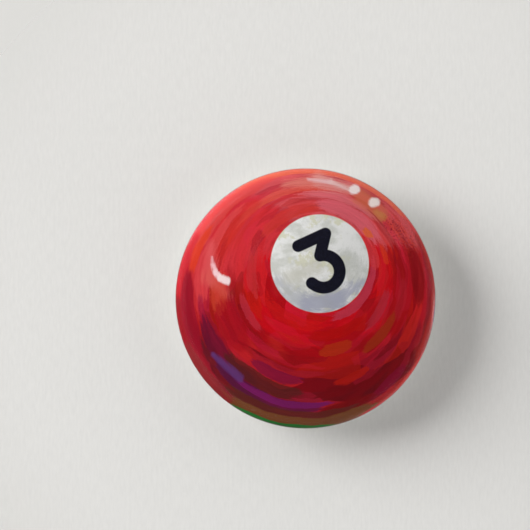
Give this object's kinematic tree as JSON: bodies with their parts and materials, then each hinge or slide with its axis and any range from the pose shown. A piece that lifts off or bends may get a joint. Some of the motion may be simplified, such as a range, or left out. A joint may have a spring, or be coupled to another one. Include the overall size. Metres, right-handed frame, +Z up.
{
  "type": "pin-back button badge",
  "caption": "Round domed button badge with a printed face under clear film, a crimped metal back ring and a swinging wire pin held by a wire catch.",
  "frame": {"origin": "on the badge's axis, in the plane of the back rim that lies on the garment", "axes": "the face looks along -Y, +Y points out of the back, +Z is up as worn, and the catch is on the +X side"},
  "size_m": [0.0318, 0.0061, 0.0318],
  "materials": {
    "film": "gloss clear polyester film",
    "print": "satin printed paper",
    "tinplate": "brushed tinplate",
    "bright_tin": "bright rolled tinplate",
    "spring_steel": "polished nickel-plated spring wire"
  },
  "bodies": {
    "badge": {"clear_film": "film", "printed_paper": "print", "front_shell": "tinplate", "back_collet": "bright_tin", "spring_wire": "spring_steel"},
    "pin": {"pin_arm": "spring_steel"}
  },
  "joints": [
    {"name": "pin_swing", "type": "hinge", "parent": "badge", "child": "pin", "pos_m": [-0.012, -0.00215, -0.0004], "axis": [0.8, 0.6, 0], "range_deg": [0, 80]}
  ]
}
